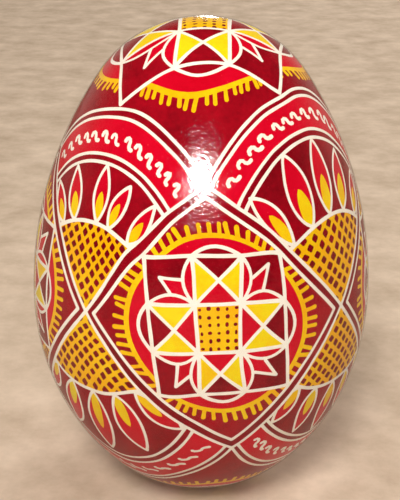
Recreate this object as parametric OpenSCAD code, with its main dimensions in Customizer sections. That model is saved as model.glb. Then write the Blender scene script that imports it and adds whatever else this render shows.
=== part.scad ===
// A wax-resist decorated egg: a blown eggshell with its two membranes inside,
// three dye coats outside it in the order they are dyed, and a clear varnish coat.
// The egg stands on its blunt end, with its tip up. All sizes are in millimetres.

/* [Egg] */
// Largest width across the varnished egg
egg_w = 43; // [40:0.5:46]
// Length from the blunt end to the tip
egg_h = 62; // [58:0.5:68]
// Height of the widest circle, as a share of the length
widest_share = 0.435; // [0.42:0.005:0.46]
// Radius of the blunt end's cap, as a share of half the width
blunt_round = 0.84; // [0.75:0.01:0.9]
// Radius of the tip's cap, as a share of half the width
tip_round = 0.716; // [0.6:0.01:0.85]

/* [Shell] */
// Thickness of the chalky shell wall
shell_t = 0.38; // [0.3:0.01:0.6]
// Thickness of each of the two membranes
membrane_t = 0.05; // [0.05:0.01:0.08]
// Diameter of the hole that the egg was blown through
blow_hole_d = 3; // [1:0.5:5]

/* [Air cell] */
// Depth of the air cell over the shell's blunt end
air_cell_h = 4.5; // [3:0.5:7]
// Radius of the shallow dome that the inner membrane makes over the air cell
air_cell_dome_r = 34; // [28:1:60]

/* [Coats] */
// Thickness of each dye coat
dye_t = 0.05; // [0.05:0.01:0.1]
// Thickness of the clear varnish
varnish_t = 0.1; // [0.06:0.01:0.2]

/* [Hidden] */
$fn = 240;

half_w = egg_w / 2;
low_h = egg_h * widest_share;
high_h = egg_h - low_h;
blunt_r = half_w * blunt_round;
tip_r = half_w * tip_round;

// How far each layer's outer face lies under the varnished surface
burgundy_in = varnish_t;
red_in = burgundy_in + dye_t;
yellow_in = red_in + dye_t;
shell_in = yellow_in + dye_t;
outer_membrane_in = shell_in + shell_t;
inner_membrane_in = outer_membrane_in + membrane_t;

dome_centre_h = outer_membrane_in + air_cell_h + air_cell_dome_r;
reach = egg_h * 2;

// Radius of the flank arc that meets the widest circle upright and the end cap smoothly
function flank_r(cap_r, rise) =
    (half_w * half_w + rise * rise - cap_r * cap_r) / (2 * (half_w - cap_r));

// One end of the egg's half section, from the widest circle at y = 0 up to its pole,
// with every arc drawn in by inset
module end_section(end_h, cap_r, inset) {
    rise = end_h - cap_r;
    flank = flank_r(cap_r, rise);
    slope = atan2(rise, flank - half_w);
    join = [reach * cos(slope), rise + reach * sin(slope)];
    intersection() {
        translate([half_w - flank, 0]) circle(flank - inset);
        polygon([[0, 0], [reach, 0], join, [0, rise]]);
    }
    intersection() {
        translate([0, rise]) circle(cap_r - inset);
        polygon([[0, rise], join, [0, reach]]);
    }
}

// The egg's half section, drawn in by inset
module egg_section(inset) {
    translate([0, low_h]) {
        end_section(high_h, tip_r, inset);
        mirror([0, 1]) end_section(low_h, blunt_r, inset);
    }
}

// The same section cut off below by the dome over the air cell
module lined_section(inset) {
    intersection() {
        egg_section(inset);
        translate([0, dome_centre_h]) circle(air_cell_dome_r - (inset - inner_membrane_in));
    }
}

// The blow hole, cut upwards through the blunt end
module blow_hole() {
    cylinder(h = 2 * (inner_membrane_in + air_cell_h), d = blow_hole_d, center = true);
}

// One closed layer of the egg, with the blow hole through its blunt end
module layer(inset, thickness) {
    difference() {
        rotate_extrude() difference() {
            egg_section(inset);
            egg_section(inset + thickness);
        }
        blow_hole();
    }
}

module eggshell() {
    color("ivory") layer(shell_in, shell_t);
}

module outer_membrane() {
    color("white") layer(outer_membrane_in, membrane_t);
}

// The inner membrane lines the outer one and parts from it over the air cell
module inner_membrane() {
    color("linen") difference() {
        rotate_extrude() difference() {
            lined_section(inner_membrane_in);
            lined_section(inner_membrane_in + membrane_t);
        }
        blow_hole();
    }
}

module yellow_dye_coat() {
    color("gold") layer(yellow_in, dye_t);
}

module red_dye_coat() {
    color("crimson") layer(red_in, dye_t);
}

module burgundy_dye_coat() {
    color("maroon") layer(burgundy_in, dye_t);
}

module varnish_coat() {
    color("whitesmoke", 0.4) layer(0, varnish_t);
}

eggshell();
outer_membrane();
inner_membrane();
yellow_dye_coat();
red_dye_coat();
burgundy_dye_coat();
varnish_coat();
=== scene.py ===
import math
import random

import bmesh
import bpy
import numpy as np
from mathutils import Matrix, Vector, noise
from mathutils.geometry import delaunay_2d_cdt


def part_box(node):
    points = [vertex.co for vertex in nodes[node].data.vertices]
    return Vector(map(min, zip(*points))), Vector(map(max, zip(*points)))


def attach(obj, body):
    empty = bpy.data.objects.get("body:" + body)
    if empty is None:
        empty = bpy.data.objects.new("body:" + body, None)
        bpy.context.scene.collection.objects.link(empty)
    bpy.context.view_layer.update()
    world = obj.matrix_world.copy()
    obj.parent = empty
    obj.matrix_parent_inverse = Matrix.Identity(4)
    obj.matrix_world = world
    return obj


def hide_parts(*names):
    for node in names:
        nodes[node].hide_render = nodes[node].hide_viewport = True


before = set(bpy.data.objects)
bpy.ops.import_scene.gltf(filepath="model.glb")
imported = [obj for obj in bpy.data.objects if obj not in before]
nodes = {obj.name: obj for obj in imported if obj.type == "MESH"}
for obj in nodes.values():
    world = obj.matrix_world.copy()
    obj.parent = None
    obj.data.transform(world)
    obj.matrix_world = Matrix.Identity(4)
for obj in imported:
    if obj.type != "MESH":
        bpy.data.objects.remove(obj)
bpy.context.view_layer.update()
hand = random.Random(7)
noise.seed_set(7)  # or its offsets follow the clock
mm = 0.001

# The egg's outline is four arcs, as in the CAD model: shares of its height and half width.
eggForm = {
    "widestShare": 0.435,
    "bluntRound": 0.84,
    "tipRound": 0.716,
    "blowHoleRadius": 1.5 * mm,
}

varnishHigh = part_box("varnish_coat")[1]
halfWidth = max(varnishHigh.x, varnishHigh.y)
eggHeight = varnishHigh.z
widestZ = eggHeight * eggForm["widestShare"]
bluntRadius = halfWidth * eggForm["bluntRound"]
tipRadius = halfWidth * eggForm["tipRound"]


def flankRadius(capRadius, rise):
    return (halfWidth**2 + rise**2 - capRadius**2) / (2 * (halfWidth - capRadius))


lowRise = widestZ - bluntRadius
highRise = eggHeight - widestZ - tipRadius
lowFlank = flankRadius(bluntRadius, lowRise)
highFlank = flankRadius(tipRadius, highRise)
lowTurn = math.atan2(lowRise, lowFlank - halfWidth)
highTurn = math.atan2(highRise, highFlank - halfWidth)

# blunt cap, lower flank, upper flank, tip cap
arcCentreR = np.array([0, halfWidth - lowFlank, halfWidth - highFlank, 0])
arcCentreZ = np.array([bluntRadius, widestZ, widestZ, eggHeight - tipRadius])
arcRadius = np.array([bluntRadius, lowFlank, highFlank, tipRadius])
arcFrom = np.array([-math.pi / 2, -lowTurn, 0, highTurn])
arcTo = np.array([-lowTurn, 0, highTurn, math.pi / 2])
arcLength = arcRadius * (arcTo - arcFrom)
arcStart = np.concatenate([[0], np.cumsum(arcLength)[:-1]])
meridian = arcLength.sum()
latLength = meridian / 180  # one degree of latitude, in metres


# The pattern is laid out in degrees: longitude round the egg, to the right from its front, and
# latitude in even steps along the meridian, from -90 at the blunt end to 90 at the tip.
def arcOf(lat):
    along = (np.asarray(lat, float) / 180 + 0.5) * meridian
    k = np.clip(np.searchsorted(arcStart, along, side="right") - 1, 0, 3)
    return k, arcFrom[k] + (along - arcStart[k]) / arcRadius[k]


def onEgg(lon, lat, inset=0.0):
    k, lean = arcOf(lat)
    r = arcCentreR[k] + (arcRadius[k] - inset) * np.cos(lean)
    z = arcCentreZ[k] + (arcRadius[k] - inset) * np.sin(lean)
    turn = np.radians(lon)
    return np.stack([r * np.sin(turn), -r * np.cos(turn), z], axis=-1)


def outward(lon, lat):
    lean = arcOf(lat)[1]
    turn = np.radians(lon)
    return np.stack(
        [np.cos(lean) * np.sin(turn), -np.cos(lean) * np.cos(turn), np.sin(lean)], axis=-1
    )


def offEgg(points):
    x, y, z = points[:, 0], points[:, 1], points[:, 2]
    r = np.hypot(x, y)
    k = np.where(z < widestZ, 1, 2)
    lean = np.arctan2(z - widestZ, r - arcCentreR[k])
    k = np.where(lean < -lowTurn, 0, np.where(lean > highTurn, 3, k))
    lean = np.arctan2(z - arcCentreZ[k], r - arcCentreR[k])
    along = arcStart[k] + (lean - arcFrom[k]) * arcRadius[k]
    return np.degrees(np.arctan2(x, -y)), (along / meridian - 0.5) * 180


# A flat map of the whole egg that keeps angles, seen from one pole: 1 is the tip, -1 the blunt end.
def toChart(lon, lat, pole=1):
    far = np.tan(np.radians(90 - pole * np.asarray(lat)) / 2)
    turn = np.radians(lon)
    return np.stack([far * np.sin(turn), -far * np.cos(turn)], axis=-1)


def fromChart(flat):
    far = np.hypot(flat[:, 0], flat[:, 1])
    lon = np.degrees(np.arctan2(flat[:, 0], -flat[:, 1]))
    return lon, 90 - 2 * np.degrees(np.arctan(far))


def unit(lon, lat):
    a, b = np.radians(lon), np.radians(lat)
    return np.stack([np.cos(b) * np.sin(a), -np.cos(b) * np.cos(a), np.sin(b)], axis=-1)


# The layout's own sizes. All angles are in degrees of the pattern's map.
layout = {
    "front": 6.5,  # the front panel's middle
    "tipTurn": 0.2,  # how the stars on the tip and the blunt end are turned
    "bluntTurn": 3.0,
    "apexLat": 36.5,  # the panels' upper and lower points
    "panelHalf": 45,
    "borderGap": (3.6, 3.2),  # between the border's two lines, at the side and upper points
    "starHalf": (22, 17.5),
    "poleStarHalf": 23.3,
    "latticeReach": 24,  # reaches are measured from where two panels meet
    "latticeRise": 3,  # how much further the lattice reaches at its two ends
    "bandRise": -0.4,
    "innerBand": (41.3, 43.6),
    "outerBand": (53.7, 56.0),
    "squiggleReach": 48.2,
    "squiggles": (13, 14, 13, 14),  # in each fan
    "squiggleGap": 6,  # left free at the band's two ends together
}

# Widths of the wax lines, in millimetres.
waxLine = {
    "border": 0.42,
    "band": 0.39,
    "lattice": 0.47,
    "grid": 0.45,
    "cross": 0.41,
    "petal": 0.37,
    "lens": 0.43,
    "leaf": 0.36,
    "squiggle": 0.42,
    "tooth": 0.46,
}
lineForm = {
    "swell": 0.16,  # how much a line's width wanders, as a share of it
    "swellLength": 2.2 * mm,
    "blob": 0.14,  # how much wider it is at its ends
    "blobLength": 0.5 * mm,
}

# Where the maker's hand left the even layout: longitude, latitude and how far each went.
handDrift = [
    # where panels meet, and the front panel's two points
    (-38.5, 0, -0.3, 1.2),
    (51.5, 0, -0.2, 0.6),
    (6.5, 36.5, -5.5, 0),
    (6.5, -36.5, 5.7, 0.2),
    # upper left fan, then upper right
    (-38.5, 54.9, 0, -3.0),
    (-10.5, 49.3, -3.0, -3.2),
    (-38.5, 42.4, 0, -2.4),
    (-19.6, 38.7, -2.4, -2.4),
    (-6.2, 29.2, -5.6, 0.4),
    (-19.9, 18.5, -4.6, 0.9),
    (-38.5, 24, 0, 0.1),
    (51.5, 54.9, 0, 1.8),
    (23.5, 49.3, -1.8, 1.6),
    (51.5, 42.4, 0, 3.5),
    (32.6, 38.7, -2.4, 3.8),
    (19.2, 29.2, -5.9, 1.4),
    (32.1, 19.2, -2.1, 0),
    (51.5, 24, 0, 0.8),
    # lower left fan, then lower right
    (-38.5, -54.9, 0, -3.4),
    (-10.5, -49.3, 1.9, -1.5),
    (-38.5, -42.4, 0, -5.4),
    (-19.6, -38.7, 3.4, -3.6),
    (-6.2, -29.2, 3.4, 0.8),
    (-19.5, -18.9, -0.1, 2.1),
    (-38.5, -24, 0, 2.8),
    (51.5, -54.9, 0, 3.3),
    (51.5, -42.4, 0, 0.9),
    (32.9, -18.5, 0.5, 1.5),
    (51.5, -24, 0, 2.5),
    # the front star's corners, then its middle box
    (-15.5, 17.5, -3.2, 0.7),
    (28.5, 17.5, -2.6, 1.5),
    (28.5, -17.5, 0.5, 1.2),
    (-15.5, -17.5, 2.6, 0),
    (-0.8, 17.5, -2.5, 2.0),
    (13.8, 17.5, -1.0, 1.9),
    (-0.8, -17.5, 1.1, 0.9),
    (13.8, -17.5, 0.6, 1.2),
    (-0.8, 5.8, -1.0, 1.7),
    (13.8, 5.8, -1.6, 1.9),
    (13.8, -5.8, -1.4, 1.0),
    (-0.8, -5.8, 0.5, 0.9),
    # the star on the tip
    (-44.8, 57, 0.9, -3.1),
    (45.2, 57, -2.3, 0.6),
    (-16.7, 65.7, -2.6, 0.1),
    (16.7, 65.7, -0.1, 1.5),
    (-45, 80, 8.3, -1.2),
    (45, 80, -7.0, -0.5),
    (-73, 65.7, 10.0, -1.8),
    (73, 65.7, -4.7, 1.8),
]
for lon in (96.5, 141.5, 186.5, 231.5, 276.5):
    for lat in (-50, -25, 0, 25, 50):
        handDrift.append((lon, lat, hand.uniform(-1.5, 1.5), hand.uniform(-1.2, 1.2)))

plateSoftness = 0.0008  # how far the layout may miss a pin
wobble = {"size": (0.09 * mm, 0.035 * mm), "wavelength": (6 * mm, 1.9 * mm)}


# The drifts bend the whole layout smoothly, as a thin plate bends between pins.
def bending(a, b):
    apart = np.linalg.norm(a[:, None] - b[None], axis=2)
    return apart**2 * np.log(apart + 1e-9)


def flatPart(at):
    return np.column_stack([np.ones(len(at)), at])


def solveDrift():
    table = np.array(handDrift)
    at = unit(table[:, 0], table[:, 1])
    moved = unit(table[:, 0] + table[:, 2], table[:, 1] + table[:, 3]) - at
    plane = flatPart(at)
    system = np.block([[bending(at, at) + plateSoftness * np.eye(len(at)), plane],
                       [plane.T, np.zeros((4, 4))]])
    return at, np.linalg.solve(system, np.concatenate([moved, np.zeros((4, 3))]))


driftAt, driftPull = solveDrift()


def byHand(lon, lat):
    at = unit(np.asarray(lon, float), np.asarray(lat, float))
    at = at + np.column_stack([bending(at, driftAt), flatPart(at)]) @ driftPull
    at /= np.linalg.norm(at, axis=1, keepdims=True)
    points = onEgg(np.degrees(np.arctan2(at[:, 0], -at[:, 1])), np.degrees(np.arcsin(at[:, 2])))
    for size, wavelength in zip(wobble["size"], wobble["wavelength"]):
        shake = [noise.noise_vector(Vector(p) / wavelength) for p in points]
        points = points + size * np.array(shake)
    return points


# Every shape of the pattern is an outline, a colour and a tone, painted in order. The tone says
# how much dye the shape took: 0 is deep, 1 is light.
burgundy, red, yellow, bare = range(4)
shapes = []


def fill(colour, lon, lat, tone=0.5):
    tone = tone + hand.uniform(-0.12, 0.12)
    shapes.append((colour, tone, *offEgg(byHand(lon, lat))))


def stroke(colour, lon, lat, width, step=0.6 * mm, tone=0.5):
    points = byHand(lon, lat)
    gaps = np.linalg.norm(np.diff(points, axis=0), axis=1)
    reached = np.concatenate([[0], np.cumsum(gaps)])
    count = max(2, round(reached[-1] / step)) + 1
    even = np.linspace(0, reached[-1], count)
    points = np.stack([np.interp(even, reached, points[:, i]) for i in range(3)], axis=-1)
    ahead = np.gradient(points, axis=0)
    ahead /= np.linalg.norm(ahead, axis=1, keepdims=True)
    side = np.cross(outward(*offEgg(points)), ahead)
    side /= np.linalg.norm(side, axis=1, keepdims=True)
    seed = hand.uniform(0, 100)
    swell = [noise.noise(Vector((s / lineForm["swellLength"], seed, 0))) for s in even]
    fromEnd = np.minimum(even, even[-1] - even)
    blob = lineForm["blob"] * np.exp(-fromEnd / lineForm["blobLength"])
    half = width * mm / 2 * (1 + lineForm["swell"] * np.array(swell) + blob)
    capTurn = np.radians([45, 90, 135])[:, None]
    startCap = points[0] - half[0] * (side[0] * np.cos(capTurn) + ahead[0] * np.sin(capTurn))
    endCap = points[-1] + half[-1] * (side[-1] * np.cos(capTurn) + ahead[-1] * np.sin(capTurn))
    left = points + side * half[:, None]
    right = points - side * half[:, None]
    outline = np.concatenate([left, endCap, right[::-1], startCap])
    shapes.append((colour, tone, *offEgg(outline)))


def fine(path, gap):
    out = [np.array(path[0], float)]
    for a, b in zip(path, path[1:]):
        a, b = np.array(a, float), np.array(b, float)
        n = max(1, math.ceil(np.linalg.norm(b - a) / gap))
        out += [a + (b - a) * i / n for i in range(1, n + 1)]
    return np.array(out)


def bow(a, b, rise, n=10):
    a, b = np.array(a, float), np.array(b, float)
    t = np.linspace(0, 1, n)[:, None]
    along = b - a
    across = np.array([-along[1], along[0]]) / np.linalg.norm(along)
    return a + along * t + across * rise * np.sin(np.pi * t) ** 0.85


def closed(path):
    return np.concatenate([path, path[:1]])


starForm = {
    "grain": 0.075,  # length of the steps along its lines
    "toothPitch": 1.2 * mm,
    "toothReach": 1.4,  # where the pitch is measured
    "lensRise": 0.152,
    "sidePetal": 0.15,
    "leafTips": ((0.7, 0.76), (0.58, 0.7), (0.62, 0.74), (0.66, 0.73)),
    "leafBases": ((0.26, 0.51), (0.52, 0.26)),
    "netHoles": (5, 6),
}

# In half widths of the star: its middle box, its rings and teeth, how far the rings fall in at
# the corners, the share of a full leaf, and the colour next to the middle box.
sideStar = {"third": 0.333, "red": 1.28, "yellow": 1.355, "teeth": 1.5, "dip": 0.035,
            "leaf": 1.0, "inner": red}
poleStar = {"third": 0.3, "red": 1.31, "yellow": 1.37, "teeth": 1.46, "dip": 0.14,
            "leaf": 0.85, "inner": burgundy}


def star(place, size, look):
    # place turns the star's own square, from -1 to 1, into longitude and latitude; size is its
    # half width in metres
    third = look["third"]

    def paint(colour, path, tone=0.5):
        fill(colour, *place(*fine(path, starForm["grain"]).T), tone)

    def draw(path, kind):
        stroke(bare, *place(*fine(path, starForm["grain"]).T), waxLine[kind])

    def ring(radius, angle):
        reach = radius * (1 - look["dip"] * np.sin(2 * angle) ** 2)
        return reach * np.cos(angle), reach * np.sin(angle)

    around = np.radians(np.arange(0, 360, 4))
    fill(yellow, *place(*ring(look["yellow"], around)), 0.3)
    teeth = round(2 * math.pi * starForm["toothReach"] * size / starForm["toothPitch"])
    pitch = 2 * math.pi / teeth
    for i in range(teeth):
        angle = (i + hand.uniform(-0.1, 0.1)) * pitch
        tipAngle = angle + hand.uniform(-0.2, 0.2) * pitch
        ends = [ring(look["yellow"] - 0.03, angle),
                ring(look["teeth"] + hand.uniform(-0.03, 0.02), tipAngle)]
        stroke(yellow, *place(*fine(ends, 0.06).T), waxLine["tooth"] * hand.uniform(0.9, 1.1),
               tone=0.3)
    fill(red, *place(*ring(look["red"], around)))
    paint(burgundy, [(-1, -1), (1, -1), (1, 1), (-1, 1), (-1, -1)], 0.35)

    # middle box: a yellow net, with its holes left burgundy
    box = [(-third, -third), (third, -third), (third, third), (-third, third), (-third, -third)]
    paint(yellow, box, 0.35)
    across, up = starForm["netHoles"]
    for i in range(across):
        for j in range(up):
            x = (2 * (i + 0.5) / across - 1) * third + hand.uniform(-0.008, 0.008)
            y = (2 * (j + 0.5) / up - 1) * third + hand.uniform(-0.008, 0.008)
            wide = third / across * hand.uniform(0.28, 0.5)
            tall = third / up * hand.uniform(0.35, 0.62)
            hole = [(x + wide * a, y + tall * b) for a, b in roundSquare]
            fill(burgundy, *place(*np.array(hole).T), 0.15)

    for k in range(4):
        c, s = round(math.cos(k * math.pi / 2)), round(math.sin(k * math.pi / 2))

        def spun(points):
            return [(c * x - s * y, s * x + c * y) for x, y in points]

        middle = (0, (1 + third) / 2)
        a, b, d, e = (-third, third), (third, third), (third, 1), (-third, 1)
        paint(yellow, spun([a, middle, e, a]), 0.85)
        paint(yellow, spun([b, d, middle, b]), 0.85)
        paint(look["inner"], spun([a, b, middle, a]))
        lens = bow((third, 1), (-third, 1), -starForm["lensRise"])
        paint(burgundy, spun(closed(lens)))
        # corner box: two petals on the sides of the crosses, and a leaf between them
        tall = bow((third, third), (third, 1), -starForm["sidePetal"])
        low = bow((third, third), (1, third), starForm["sidePetal"])
        p, q = starForm["leafBases"]
        tip = starForm["leafTips"][k]
        side = (1 - third) * look["leaf"]
        leaf = [(third + x * side, third + y * side) for x, y in (p, tip, q, (0.12, 0.12), p)]
        paint(red, spun(leaf))
        paint(red, spun(closed(tall)))
        paint(red, spun(closed(low)))
        for path, kind in ((leaf[0:2], "leaf"), (leaf[1:3], "leaf"), (tall, "petal"),
                           (low, "petal"), (lens, "lens"), ([a, d], "cross"), ([e, b], "cross")):
            draw(spun(path), kind)
    def near(at):
        return at + hand.uniform(-0.01, 0.01)

    for at in (-1, -third, third, 1):
        draw([(-1, near(at)), (1, near(at))], "grid")
        draw([(near(at), -1), (near(at), 1)], "grid")


# a square with soft corners, for the holes of nets and lattices
roundSquare = [
    (1, 0.45), (0.45, 1), (-0.45, 1), (-1, 0.45), (-1, -0.45), (-0.45, -1), (0.45, -1), (1, -0.45),
]


def sidePlace(lon):
    def place(u, v):
        return lon + layout["starHalf"][0] * u, layout["starHalf"][1] * v
    return place


def polePlace(pole, turn):
    def place(u, v):
        x, y = layout["poleStarHalf"] * u, layout["poleStarHalf"] * v
        return np.degrees(np.arctan2(x, -y)) + turn, pole * (90 - np.hypot(x, y))
    return place


# Two panels meet at each crossing, and a fan opens above it and below it.
def fanPlace(crossing, side, bearing, reach):
    b, d = np.radians(bearing), np.radians(reach)
    lat = np.degrees(np.arcsin(np.sin(d) * np.cos(b)))
    return crossing + np.degrees(np.arctan2(np.sin(b) * np.sin(d), np.cos(d))), side * lat


apex = math.radians(layout["apexLat"])
halfPanel = math.radians(layout["panelHalf"])
edgeBearing = math.degrees(math.atan2(math.sin(halfPanel) * math.cos(apex), math.sin(apex)))
edgeReach = math.degrees(math.acos(math.cos(apex) * math.cos(halfPanel)))


def borderEdge(toReach):
    steps = np.arange(0, toReach, 1.6)
    return np.append(steps, toReach)


def arcReach(reach, bearing, atEdge):
    return reach + (atEdge - reach) * (bearing / edgeBearing) ** 2


def pie(reach, atEdge):
    edge = borderEdge(atEdge)
    bearings = np.linspace(-edgeBearing, edgeBearing, max(9, round(atEdge)))
    arc = arcReach(reach, bearings, atEdge)
    bearing = np.concatenate([np.full(len(edge), -edgeBearing), bearings[1:-1],
                              np.full(len(edge) - 1, edgeBearing)])
    return bearing, np.concatenate([edge, arc[1:-1], edge[:0:-1]])


def arcLine(reach, atEdge):
    bearings = np.linspace(-edgeBearing, edgeBearing, max(9, round(atEdge)))
    return bearings, arcReach(reach, bearings, atEdge)


# Each fan's petals from left to right: bearings at the foot and the tip, and the tip's reach.
# Then the half width of its middle petals, and the share of it that the yellow drop takes.
usualPetals = (((-40, -40, 40.5), (-22, -20, 40), (0, 0, 40), (21, 20, 40), (40, 40, 40.5)),
               3.4, 0.56)
fanPetals = {
    (0, 1): (((-39, -40, 40), (-26, -23, 40.5), (0, -1, 41), (17, 17.5, 38.5), (40.5, 37, 40.8)),
             3.2, 0.58),
    (1, 1): (((-39, -38.5, 41.3), (-21, -19, 41.2), (-1.5, 0.6, 41), (18, 19, 40), (38, 38, 40)),
             3.6, 0.58),
    (0, -1): (((-40, -40, 40), (-21, -22, 40.5), (1.5, -1.3, 39.6), (23, 20, 39.3), (40, 42, 40.5)),
              3.8, 0.46),
}
petalForm = {"edgeShare": 0.78, "dropTo": 0.56}  # edge petals' width, and the drop's length
latticeForm = {"step": (2.36, 2.0), "hole": (1.56, 1.32)}
squiggleForm = {"long": 3.6, "tall": 2.9, "flatFans": {(0, -1)}, "stretch": 1.65, "flatness": 0.36,
                "flatTurn": 52}
squigglePath = [(-0.46, 0.1), (-0.38, 0.40), (-0.12, 0.46), (0.04, 0.16), (0.02, -0.16),
                (0.16, -0.44), (0.42, -0.46)]
diamond = [(0.86, 0.14), (0.14, 0.86), (-0.14, 0.86), (-0.86, 0.14),
           (-0.86, -0.14), (-0.14, -0.86), (0.14, -0.86), (0.86, -0.14)]


def squiggle(flat):
    path = fine(squigglePath, 0.15)
    if not flat:
        return path
    turn = math.radians(squiggleForm["flatTurn"])
    x, y = path[:, 0] * squiggleForm["stretch"], path[:, 1] * squiggleForm["flatness"]
    return np.stack([x * math.cos(turn) - y * math.sin(turn),
                     -x * math.sin(turn) - y * math.cos(turn)], axis=-1)


def leafShape(middle, offset, reach):
    # up one side of a petal and down the other
    return (np.concatenate([middle - offset, (middle + offset)[-2:0:-1]]),
            np.concatenate([reach, reach[-2:0:-1]]))


def fan(crossing, side, count, flat, petals, half, dropShare):
    def put(bearing, reach):
        return fanPlace(crossing, side, np.asarray(bearing, float), np.asarray(reach, float))

    latticeReach = layout["latticeReach"]
    latticeEdge = latticeReach + layout["latticeRise"]
    rise = layout["bandRise"]
    innerLow, innerHigh = layout["innerBand"]
    outerLow, outerHigh = layout["outerBand"]
    fill(burgundy, *put(*pie(outerHigh, edgeReach)))
    fill(red, *put(*pie(outerLow, outerLow + rise)), 0.7)
    fill(burgundy, *put(*pie(innerHigh, innerHigh)))
    fill(yellow, *put(*pie(latticeReach, latticeEdge)), 0.1)

    # lattice: the holes between the yellow lines
    stepLon, stepLat = latticeForm["step"]
    wideHole, tallHole = latticeForm["hole"]
    for j in range(1, 14):
        for i in range(-11, 12):
            if (i + j) % 2:
                continue
            x, y = math.radians(i * stepLon), math.radians((j + 0.3) * stepLat)
            bearing = math.degrees(math.atan2(math.sin(x) * math.cos(y), math.sin(y)))
            reach = math.degrees(math.acos(math.cos(x) * math.cos(y)))
            latticeEnd = arcReach(latticeReach, bearing, latticeEdge)
            if abs(bearing) > edgeBearing + 1.5 or reach > latticeEnd + 0.3:
                continue
            atLon = crossing + math.degrees(x) + hand.uniform(-0.14, 0.14)
            atLat = math.degrees(y) + hand.uniform(-0.12, 0.12)
            wide, tall = wideHole * hand.uniform(0.8, 1.08), tallHole * hand.uniform(0.8, 1.08)
            lean = hand.uniform(-0.15, 0.15)
            fill(burgundy, [atLon + wide * (a + lean * b) for a, b in diamond],
                 [side * (atLat + tall * (b - lean * a)) for a, b in diamond], 0.1)

    for n, (footBearing, tipBearing, tipReach) in enumerate(petals):
        ownHalf = half * (petalForm["edgeShare"] if n in (0, len(petals) - 1) else 1)
        foot = arcReach(latticeReach, footBearing, latticeEdge) + 0.2
        tip = tipReach + hand.uniform(-0.3, 0.2)
        t = np.linspace(0, 1, 15)
        middle = footBearing + (tipBearing - footBearing) * t
        reach = foot + (tip - foot) * t
        wide = ownHalf * hand.uniform(0.95, 1.05) * np.sin(np.pi * t**0.92) ** 0.85
        offset = wide / np.sin(np.radians(reach))
        fill(red, *put(*leafShape(middle, offset, reach)))
        dropReach = foot + (tip - foot) * t * (petalForm["dropTo"] + hand.uniform(-0.05, 0.05))
        dropMiddle = np.interp(dropReach, reach, middle)
        dropWide = ownHalf * dropShare * np.sin(np.pi * t**0.9) ** 0.6
        dropOffset = dropWide / np.sin(np.radians(dropReach))
        fill(yellow, *put(*leafShape(dropMiddle, dropOffset, dropReach)))
        for way in (-1, 1):
            stroke(bare, *put(middle + way * offset, reach), waxLine["petal"], 0.45 * mm)

    along = math.sin(math.radians(layout["squiggleReach"]))
    span = 2 * edgeBearing - layout["squiggleGap"]
    for i in range(count):
        bearing = -span / 2 + span * (i + 0.5 + hand.uniform(-0.1, 0.1)) / count
        tall = squiggleForm["tall"] * hand.uniform(0.88, 1.08)
        long = squiggleForm["long"] * hand.uniform(0.9, 1.06)
        reach = layout["squiggleReach"] + hand.uniform(-0.3, 0.3)
        path = squiggle(flat)
        stroke(bare, *put(bearing + path[:, 0] * long / along, reach + side * path[:, 1] * tall),
               waxLine["squiggle"] * hand.uniform(0.94, 1.1), 0.3 * mm)

    stroke(bare, *put(*arcLine(latticeReach, latticeEdge)), waxLine["lattice"])
    for reach in (innerLow, innerHigh, outerLow):
        stroke(bare, *put(*arcLine(reach, reach + rise)), waxLine["band"])
    stroke(bare, *put(*arcLine(outerHigh, edgeReach)), waxLine["band"])


def innerEdge(panelLon, across, side):
    # one inner line of a panel's border, from its side point to its upper or lower point
    gapLon, gapLat = layout["borderGap"]
    run = np.linspace(0, layout["panelHalf"] - gapLon, 30)
    rise = math.tan(math.radians(layout["apexLat"] - gapLat))
    lat = np.degrees(np.arctan(rise * np.sin(np.radians(run)) / math.sin(math.radians(run[-1]))))
    return panelLon + across * (run[-1] - run), side * lat


panels = [layout["front"] + 90 * k for k in range(4)]
crossings = [lon - layout["panelHalf"] for lon in panels]

for lon in panels:
    star(sidePlace(lon), layout["starHalf"][1] * latLength, sideStar)
star(polePlace(1, layout["tipTurn"]), layout["poleStarHalf"] * latLength, poleStar)
star(polePlace(-1, layout["bluntTurn"]), layout["poleStarHalf"] * latLength, poleStar)
print("stars:", len(shapes), "shapes")

for n, crossing in enumerate(crossings):
    for side in (1, -1):
        fan(crossing, side, layout["squiggles"][n], (n, side) in squiggleForm["flatFans"],
            *fanPetals.get((n, side), usualPetals))
print("fans:", len(shapes), "shapes")

# Each panel's border is a burgundy strip between two lines, in four straight runs.
borders = []
for lon in panels:
    for across in (-1, 1):
        for side in (-1, 1):
            outer = fanPlace(lon + across * layout["panelHalf"], side, -across * edgeBearing,
                             borderEdge(edgeReach))
            borders.append((innerEdge(lon, across, side), outer))
for inner, outer in borders:
    fill(burgundy, *(np.concatenate([b, a[::-1]]) for a, b in zip(inner, outer)), 0.25)
for inner, outer in borders:
    stroke(bare, *inner, waxLine["border"])
    stroke(bare, *outer, waxLine["border"])
print("borders:", len(shapes), "shapes")

# All outlines are cut into one triangle mesh, and each triangle takes the last colour over it.
film = {
    "topInset": 0.13 * mm,  # both faces of the films, under the varnished surface
    "lowInset": 0.25 * mm,
    "grain": 1.35 * mm,
    "rimSteps": 48,
    "crease": 0.6,  # sharper edges than this, in radians, are shaded sharp
}


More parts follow.
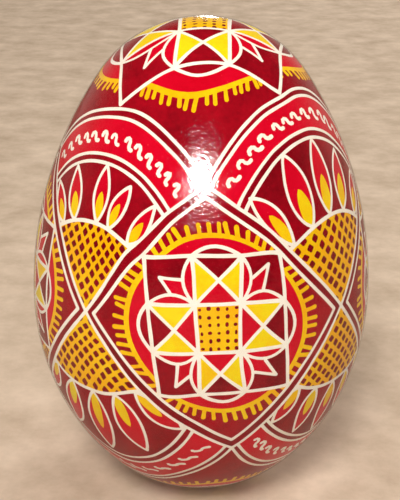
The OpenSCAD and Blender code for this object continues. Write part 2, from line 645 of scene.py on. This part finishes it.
def cutMesh():
    holeLat = float(offEgg(holeRim())[1][0])
    count = film["rimSteps"]
    rim = toChart(np.arange(count) * 360 / count, np.full(count, holeLat))
    flat, edges = [], []
    for ring in [toChart(lon, lat) for colour, tone, lon, lat in shapes] + [rim]:
        first = len(flat)
        flat += ring.tolist()
        edges += [(first + i, first + (i + 1) % len(ring)) for i in range(len(ring))]
    for lat in np.arange(89, holeLat + 1.5, -film["grain"] / latLength):
        ringRadius = np.hypot(*onEgg(0, lat)[:2])
        count = max(5, round(2 * math.pi * ringRadius / film["grain"]))
        lons = (np.arange(count) + hand.uniform(0, 1)) * 360 / count
        flat += toChart(lons, np.full(count, lat)).tolist()
    out = delaunay_2d_cdt([Vector(p) for p in flat], edges, [], 0, 1e-7, False)
    verts = np.array([tuple(p) for p in out[0]])
    tris = np.array([f for f in out[2] if len(f) == 3])
    centre = verts[tris].mean(axis=1)
    # some shapes reach over the blow hole, which stays open
    kept = np.hypot(centre[:, 0], centre[:, 1]) < np.hypot(*rim[0]) * math.cos(math.pi / len(rim))
    return verts, tris[kept]


def holeRim():
    # a point on the rim of the blow hole, a little way up the blunt cap
    lean = -math.acos(eggForm["blowHoleRadius"] / (bluntRadius - film["topInset"]))
    r = bluntRadius * math.cos(lean)
    return np.array([[0, -r, bluntRadius + bluntRadius * math.sin(lean)]])


def inside(px, py, ring):
    wound = np.zeros(len(px), int)
    for (x0, y0), (x1, y1) in zip(ring, np.roll(ring, -1, axis=0)):
        if y0 == y1:
            continue
        left = (x1 - x0) * (py - y0) - (px - x0) * (y1 - y0)
        wound += (y0 <= py) & (y1 > py) & (left > 0)
        wound -= (y0 > py) & (y1 <= py) & (left < 0)
    return wound != 0


def paintTriangles(verts, tris):
    lon, lat = fromChart(verts[tris].mean(axis=1))
    colours = np.full(len(tris), burgundy)
    tones = np.full(len(tris), 0.6)
    charts = {pole: toChart(lon, lat, pole) for pole in (1, -1)}
    order = {pole: np.argsort(charts[pole][:, 0]) for pole in (1, -1)}
    sortedX = {pole: charts[pole][order[pole], 0] for pole in (1, -1)}
    for colour, tone, ringLon, ringLat in shapes:
        pole = 1 if np.mean(ringLat) > 0 else -1
        ring = toChart(ringLon, ringLat, pole)
        low, high = np.searchsorted(sortedX[pole], (ring[:, 0].min(), ring[:, 0].max()))
        near = order[pole][low:high]
        y = charts[pole][near, 1]
        near = near[(y >= ring[:, 1].min()) & (y <= ring[:, 1].max())]
        hit = inside(charts[pole][near, 0], charts[pole][near, 1], ring)
        colours[near[hit]] = colour
        tones[near[hit]] = tone
    return colours, tones


verts, tris = cutMesh()
print("cut:", len(verts), "points", len(tris), "triangles")
colours, tones = paintTriangles(verts, tris)
vertLon, vertLat = fromChart(verts)
topPoints = onEgg(vertLon, vertLat, film["topInset"])
lowPoints = onEgg(vertLon, vertLat, film["lowInset"])


def finishPiece(bm, name, material):
    mesh = bpy.data.meshes.new(name)
    bm.to_mesh(mesh)
    bm.free()
    mesh.materials.append(material)
    piece = bpy.data.objects.new(name, mesh)
    bpy.context.scene.collection.objects.link(piece)
    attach(piece, "root")
    return piece


def shadeSmooth(bm):
    bmesh.ops.recalc_face_normals(bm, faces=bm.faces[:])
    for f in bm.faces:
        f.smooth = True
    for e in bm.edges:
        e.smooth = e.calc_face_angle(0) < film["crease"]


def colourFilm(name, colour, material):
    # a thin closed film over every part of the egg with this colour
    chosen = tris[colours == colour]
    bm = bmesh.new()
    place = bm.verts.layers.int.new("place")
    toneLayer = bm.faces.layers.float.new("tone")
    made = {}
    for i in np.unique(chosen).tolist():
        made[i] = bm.verts.new(lowPoints[i])
        made[i][place] = i
    for tri, tone in zip(chosen.tolist(), tones[colours == colour].tolist()):
        bm.faces.new([made[i] for i in tri])[toneLayer] = tone
    raised = bmesh.ops.extrude_face_region(bm, geom=bm.faces[:], use_keep_orig=True)
    for v in raised["geom"]:
        if isinstance(v, bmesh.types.BMVert):
            v.co = topPoints[v[place]]
    shadeSmooth(bm)
    print(name, len(bm.faces), "faces")
    return finishPiece(bm, name, material)


# Materials. Object coordinates are in metres.
def newGroup(name, inputs, outputs):
    group = bpy.data.node_groups.new(name, "ShaderNodeTree")
    for label, kind, value in inputs:
        socket = group.interface.new_socket(label, in_out="INPUT", socket_type=kind)
        socket.default_value = value
    for label, kind in outputs:
        group.interface.new_socket(label, in_out="OUTPUT", socket_type=kind)
    return group, group.nodes.new("NodeGroupInput"), group.nodes.new("NodeGroupOutput")


def noiseNode(tree, coords, scale, detail=3, rough=0.55):
    node = tree.nodes.new("ShaderNodeTexNoise")
    node.inputs["Detail"].default_value = detail
    node.inputs["Roughness"].default_value = rough
    if isinstance(scale, (int, float)):
        node.inputs["Scale"].default_value = scale
    else:
        tree.links.new(scale, node.inputs["Scale"])
    tree.links.new(coords, node.inputs["Vector"])
    return node.outputs["Fac"]


def spread(tree, value, low, high, toLow=0.0, toHigh=1.0):
    node = tree.nodes.new("ShaderNodeMapRange")
    for label, number in (("From Min", low), ("From Max", high), ("To Min", toLow), ("To Max", toHigh)):
        node.inputs[label].default_value = number
    tree.links.new(value, node.inputs["Value"])
    return node.outputs["Result"]


def scaledSum(tree, value, scale, more):
    # value * scale + more
    node = tree.nodes.new("ShaderNodeMath")
    node.operation = "MULTIPLY_ADD"
    node.inputs[1].default_value = scale
    tree.links.new(value, node.inputs[0])
    if isinstance(more, (int, float)):
        node.inputs[2].default_value = more
    else:
        tree.links.new(more, node.inputs[2])
    return node.outputs[0]


def mixColour(tree, factor, a, b):
    node = tree.nodes.new("ShaderNodeMix")
    node.data_type = "RGBA"
    for socket, value in ((node.inputs[0], factor), (node.inputs[6], a), (node.inputs[7], b)):
        if isinstance(value, bpy.types.NodeSocket):
            tree.links.new(value, socket)
        else:
            socket.default_value = value
    return node.outputs[2]


def dyeGroup():
    # dye takes unevenly on shell: soft clouds, finer mottling, and specks at the pores
    colour = "NodeSocketColor"
    group, given, out = newGroup(
        "unevenDye",
        [("Light", colour, (1, 1, 1, 1)), ("Deep", colour, (0, 0, 0, 1)),
         ("Speck", colour, (1, 1, 1, 1)), ("Cloud Scale", "NodeSocketFloat", 220.0)],
        [("Color", colour), ("Roughness", "NodeSocketFloat")],
    )
    coords = group.nodes.new("ShaderNodeTexCoord").outputs["Object"]
    clouds = noiseNode(group, coords, given.outputs["Cloud Scale"], 5, 0.6)
    mottle = noiseNode(group, coords, 1500, 3, 0.6)
    both = scaledSum(group, mottle, 0.45, clouds)
    laidTone = group.nodes.new("ShaderNodeAttribute")
    laidTone.attribute_name = "tone"
    both = scaledSum(group, laidTone.outputs["Fac"], 0.5, both)
    tone = mixColour(group, spread(group, both, 0.72, 1.22),
                     given.outputs["Deep"], given.outputs["Light"])
    pores = group.nodes.new("ShaderNodeTexVoronoi")
    pores.inputs["Scale"].default_value = 1600
    group.links.new(coords, pores.inputs["Vector"])
    speck = spread(group, pores.outputs["Distance"], 0.05, 0.16, 0.55, 0.0)
    gate = group.nodes.new("ShaderNodeMath")
    gate.operation = "MULTIPLY"
    group.links.new(speck, gate.inputs[0])
    group.links.new(spread(group, noiseNode(group, coords, 700, 1), 0.52, 0.6), gate.inputs[1])
    group.links.new(mixColour(group, gate.outputs[0], tone, given.outputs["Speck"]),
                    out.inputs["Color"])
    group.links.new(spread(group, mottle, 0.3, 0.7, 0.42, 0.6), out.inputs["Roughness"])
    return group


unevenDye = dyeGroup()
# The light and the deep end of each colour, its pale specks, and how fine its clouds are.
dyes = {
    "burgundyDye": {"light": (0.42, 0.003, 0.014), "deep": (0.19, 0.002, 0.007),
                    "speck": (0.55, 0.02, 0.05), "clouds": 160},
    "redDye": {"light": (0.70, 0.002, 0.024), "deep": (0.56, 0.001, 0.013),
               "speck": (0.9, 0.06, 0.09), "clouds": 180},
    "yellowDye": {"light": (0.92, 0.72, 0.010), "deep": (0.94, 0.47, 0.003),
                  "speck": (0.98, 0.76, 0.1), "clouds": 170},
    "bareShell": {"light": (0.98, 0.95, 0.90), "deep": (0.93, 0.86, 0.78),
                  "speck": (0.98, 0.95, 0.9), "clouds": 260},
}


def plainMaterial(name):
    material = bpy.data.materials.new(name)
    material.use_nodes = True
    tree = material.node_tree
    return material, tree, tree.nodes["Principled BSDF"]


def dyeMaterial(name):
    material, tree, shader = plainMaterial(name)
    group = tree.nodes.new("ShaderNodeGroup")
    group.node_tree = unevenDye
    for label, key in (("Light", "light"), ("Deep", "deep"), ("Speck", "speck")):
        group.inputs[label].default_value = (*dyes[name][key], 1)
    group.inputs["Cloud Scale"].default_value = dyes[name]["clouds"]
    tree.links.new(group.outputs["Color"], shader.inputs["Base Color"])
    tree.links.new(group.outputs["Roughness"], shader.inputs["Roughness"])
    shader.inputs["Specular IOR Level"].default_value = 0.0
    return material


varnish = {
    "innerInset": 0.10 * mm,
    "smooth": (0.06, 0.03 * mm),  # roughness and bump distance
    "flecked": (0.09, 0.08 * mm),
    "fleckShare": 0.32,
    "peel": 3000,  # scale of its waves, then of its pores
    "pores": 1300,
    "strength": 0.7,
    "segments": 256,  # round the axis
    "rings": 150,
}


def varnishMaterial():
    material, tree, shader = plainMaterial("clearVarnish")
    tree.nodes.remove(shader)
    out = tree.nodes["Material Output"]
    coords = tree.nodes.new("ShaderNodeTexCoord").outputs["Object"]
    peel = noiseNode(tree, coords, varnish["peel"], 2, 0.4)
    pores = tree.nodes.new("ShaderNodeTexVoronoi")
    pores.inputs["Scale"].default_value = varnish["pores"]
    tree.links.new(coords, pores.inputs["Vector"])
    height = scaledSum(tree, spread(tree, pores.outputs["Distance"], 0.04, 0.3), 0.12, peel)
    # most of the coat is smooth, and part of it breaks the light into flecks
    lobes = []
    for roughness, distance in (varnish["smooth"], varnish["flecked"]):
        bump = tree.nodes.new("ShaderNodeBump")
        bump.inputs["Strength"].default_value = varnish["strength"]
        bump.inputs["Distance"].default_value = distance
        tree.links.new(height, bump.inputs["Height"])
        glossy = tree.nodes.new("ShaderNodeBsdfGlossy")
        glossy.inputs["Roughness"].default_value = roughness
        tree.links.new(bump.outputs["Normal"], glossy.inputs["Normal"])
        lobes.append(glossy.outputs[0])
    fresnel = tree.nodes.new("ShaderNodeFresnel")
    fresnel.inputs["IOR"].default_value = 1.5
    facing = tree.nodes.new("ShaderNodeNewGeometry").outputs["Backfacing"]
    share = tree.nodes.new("ShaderNodeMath")
    share.operation = "MULTIPLY"
    tree.links.new(fresnel.outputs[0], share.inputs[0])
    tree.links.new(scaledSum(tree, facing, -1, 1), share.inputs[1])
    shine = tree.nodes.new("ShaderNodeMixShader")
    shine.inputs[0].default_value = varnish["fleckShare"]
    tree.links.new(lobes[0], shine.inputs[1])
    tree.links.new(lobes[1], shine.inputs[2])
    clear = tree.nodes.new("ShaderNodeBsdfTransparent")
    clear.inputs["Color"].default_value = (0.995, 0.985, 0.965, 1)
    surface = tree.nodes.new("ShaderNodeMixShader")
    tree.links.new(share.outputs[0], surface.inputs[0])
    tree.links.new(clear.outputs[0], surface.inputs[1])
    tree.links.new(shine.outputs[0], surface.inputs[2])
    tree.links.new(surface.outputs[0], out.inputs["Surface"])
    return material


def varnishPiece():
    # the coat's half section, spun round the egg's axis
    count, hole = varnish["rings"], eggForm["blowHoleRadius"]
    faces = []
    for inset in (0, varnish["innerInset"]):
        line = onEgg(np.zeros(count), np.linspace(-88, 90, count), inset)
        start = bluntRadius - math.sqrt((bluntRadius - inset) ** 2 - hole**2)
        points = [tuple(p) for p in line if -p[1] > hole]
        faces.append([(0, -hole, start), *points, (0, 0, eggHeight - inset)])
    outer, inner = faces
    bm = bmesh.new()
    profile = [bm.verts.new(p) for p in outer[::-1] + inner]
    for a, b in zip(profile, profile[1:]):
        bm.edges.new((a, b))
    bmesh.ops.spin(bm, geom=bm.verts[:] + bm.edges[:], axis=(0, 0, 1), cent=(0, 0, 0),
                   steps=varnish["segments"], angle=2 * math.pi, use_merge=True)
    bmesh.ops.remove_doubles(bm, verts=bm.verts[:], dist=1e-6)
    shadeSmooth(bm)
    piece = finishPiece(bm, "varnishCoat", varnishMaterial())
    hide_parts("varnish_coat")


for name, colour, node, slot in (
    ("burgundyDye", burgundy, "burgundy_dye_coat", "burgundy_dye"),
    ("redDye", red, "red_dye_coat", "red_dye"),
    ("yellowDye", yellow, "yellow_dye_coat", "yellow_dye"),
    ("bareShell", bare, None, "bare_shell"),
):
    piece = colourFilm(name, colour, dyeMaterial(name))
    if node:
        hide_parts(node)
varnishPiece()
print("films and varnish made")


def membraneMaterial():
    material, tree, shader = plainMaterial("driedMembrane")
    coords = tree.nodes.new("ShaderNodeTexCoord").outputs["Object"]
    fibres = noiseNode(tree, coords, 2600, 6, 0.7)
    tree.links.new(mixColour(tree, spread(tree, fibres, 0.35, 0.65), (0.80, 0.72, 0.60, 1),
                             (0.93, 0.89, 0.80, 1)), shader.inputs["Base Color"])
    bump = tree.nodes.new("ShaderNodeBump")
    bump.inputs["Strength"].default_value = 0.4
    bump.inputs["Distance"].default_value = 0.03 * mm
    tree.links.new(fibres, bump.inputs["Height"])
    tree.links.new(bump.outputs["Normal"], shader.inputs["Normal"])
    tree.links.new(spread(tree, fibres, 0.3, 0.7, 0.55, 0.8), shader.inputs["Roughness"])
    return material


chalk = dyeMaterial("bareShell")
chalk.name = "shellWall"
dried = membraneMaterial()
for name, material in (("eggshell", chalk), ("outer_membrane", dried), ("inner_membrane", dried)):
    nodes[name].data.materials.clear()
    nodes[name].data.materials.append(material)

# The stage, lights and camera.
studio = {
    "elevation": 22,
    "distance": 7 * halfWidth,
    "lens": 84.3,
    "aim": (-0.07, 0.44),  # small turns of the camera off the egg's middle, in degrees
    "roll": 0.74,
    "flashElevation": 31,
    "flashDistance": 0.6,
    "flashPower": 8.5,
    "flashSize": (0.17, 0.095),
    "keyPower": 4.2,
    "keySize": (0.2, 0.2),
    "fillSize": (0.4, 0.4),
    "warm": (1, 0.97, 0.93),
}


def floorMaterial():
    material, tree, shader = plainMaterial("paleFloor")
    coords = tree.nodes.new("ShaderNodeTexCoord").outputs["Object"]
    cloth = spread(tree, noiseNode(tree, coords, 90, 6, 0.65), 0.3, 0.7)
    pale = mixColour(tree, cloth, (0.44, 0.33, 0.23, 1), (0.68, 0.54, 0.41, 1))
    # painted shade: in the varnish and as bounced light, the floor in front of the egg is painted
    # darker than it looks
    split = tree.nodes.new("ShaderNodeSeparateXYZ")
    tree.links.new(coords, split.inputs[0])
    paintedFloorShade = tree.nodes.new("ShaderNodeMath")
    paintedFloorShade.operation = "MAXIMUM"
    tree.links.new(spread(tree, split.outputs["Y"], -0.08, -0.03, 0.28, 0.85), paintedFloorShade.inputs[0])
    tree.links.new(tree.nodes.new("ShaderNodeLightPath").outputs["Is Camera Ray"], paintedFloorShade.inputs[1])
    tree.links.new(mixColour(tree, paintedFloorShade.outputs[0], (0, 0, 0, 1), pale), shader.inputs["Base Color"])
    shader.inputs["Roughness"].default_value = 0.9
    return material


bm = bmesh.new()
bmesh.ops.create_grid(bm, x_segments=2, y_segments=2, size=1.6)
floorMesh = bpy.data.meshes.new("floor")
bm.to_mesh(floorMesh)
bm.free()
floorMesh.materials.append(floorMaterial())
floor = bpy.data.objects.new("floor", floorMesh)
bpy.context.scene.collection.objects.link(floor)


def areaLight(name, place, target, size, power, colour=(1, 1, 1), shines=True, lights=True):
    # a light may only shine in the varnish, or only light the dyes and the floor
    data = bpy.data.lights.new(name, "AREA")
    data.shape = "ELLIPSE"
    data.size, data.size_y = size
    data.energy = power
    data.color = colour
    light = bpy.data.objects.new(name, data)
    light.location = place
    light.rotation_euler = (Vector(target) - Vector(place)).to_track_quat("-Z", "Y").to_euler()
    light.visible_glossy = shines
    light.visible_diffuse = lights
    light.visible_camera = False
    bpy.context.scene.collection.objects.link(light)


middle = Vector((0, 0, eggHeight / 2))
up = math.radians(studio["flashElevation"])
brow = Vector((0, -0.86 * halfWidth, 0.763 * eggHeight))
flashPlace = brow + studio["flashDistance"] * Vector((-0.007, -math.cos(up), math.sin(up)))
areaLight("flash", flashPlace, brow, studio["flashSize"], studio["flashPower"], lights=False)
areaLight("window", (0.007, 0.55, 0.125), (0, 0, eggHeight), (0.032, 0.045), 0.045)
areaLight("key", (-0.08, -0.48, 0.5), brow, studio["keySize"], studio["keyPower"], (1, 0.99, 0.97),
          False)
areaLight("leftFill", (-0.5, -0.35, 0.3), middle, studio["fillSize"], 0.45, studio["warm"], False)
areaLight("rightFill", (0.5, -0.35, 0.3), middle, studio["fillSize"], 0.35, studio["warm"], False)
areaLight("backFill", (0.4, 0.45, 0.45), (0.1, 0.16, 0), studio["fillSize"], 2.2, (0.97, 0.98, 1),
          False)

# The room is evenly pale, but in the varnish it is dim in front of the egg and paler behind it,
# so only the egg's rim takes its glow.
world = bpy.data.worlds.new("softRoom")
world.use_nodes = True
room = world.node_tree
split = room.nodes.new("ShaderNodeSeparateXYZ")
room.links.new(room.nodes.new("ShaderNodeTexCoord").outputs["Generated"], split.inputs[0])
glow = room.nodes.new("ShaderNodeMath")
glow.operation = "MULTIPLY"
room.links.new(spread(room, split.outputs["Y"], -0.2, 0.6), glow.inputs[0])
room.links.new(spread(room, split.outputs["Z"], 0.15, 0.6, 1, 0), glow.inputs[1])
shone = spread(room, glow.outputs[0], 0, 1, 0.05, 0.7)
ray = room.nodes.new("ShaderNodeLightPath")
room.links.new(mixColour(room, ray.outputs["Is Glossy Ray"], (0.42, 0.42, 0.42, 1), shone),
               room.nodes["Background"].inputs[1])
room.nodes["Background"].inputs[0].default_value = (0.80, 0.69, 0.57, 1)
bpy.context.scene.world = world
bpy.context.scene.view_settings.view_transform = "Standard"

cameraData = bpy.data.cameras.new("camera")
cameraData.lens = studio["lens"]
cameraData.clip_start = 0.005
camera = bpy.data.objects.new("camera", cameraData)
down = math.radians(studio["elevation"])
pan, tilt = (math.radians(a) for a in studio["aim"])
turned = (Matrix.Rotation(math.pi / 2 - down + tilt, 4, "X") @ Matrix.Rotation(-pan, 4, "Y")
          @ Matrix.Rotation(math.radians(studio["roll"]), 4, "Z"))
away = Vector((0, -math.cos(down), math.sin(down))) * studio["distance"]
camera.matrix_world = Matrix.Translation(middle + away) @ turned
bpy.context.scene.collection.objects.link(camera)
bpy.context.scene.camera = camera
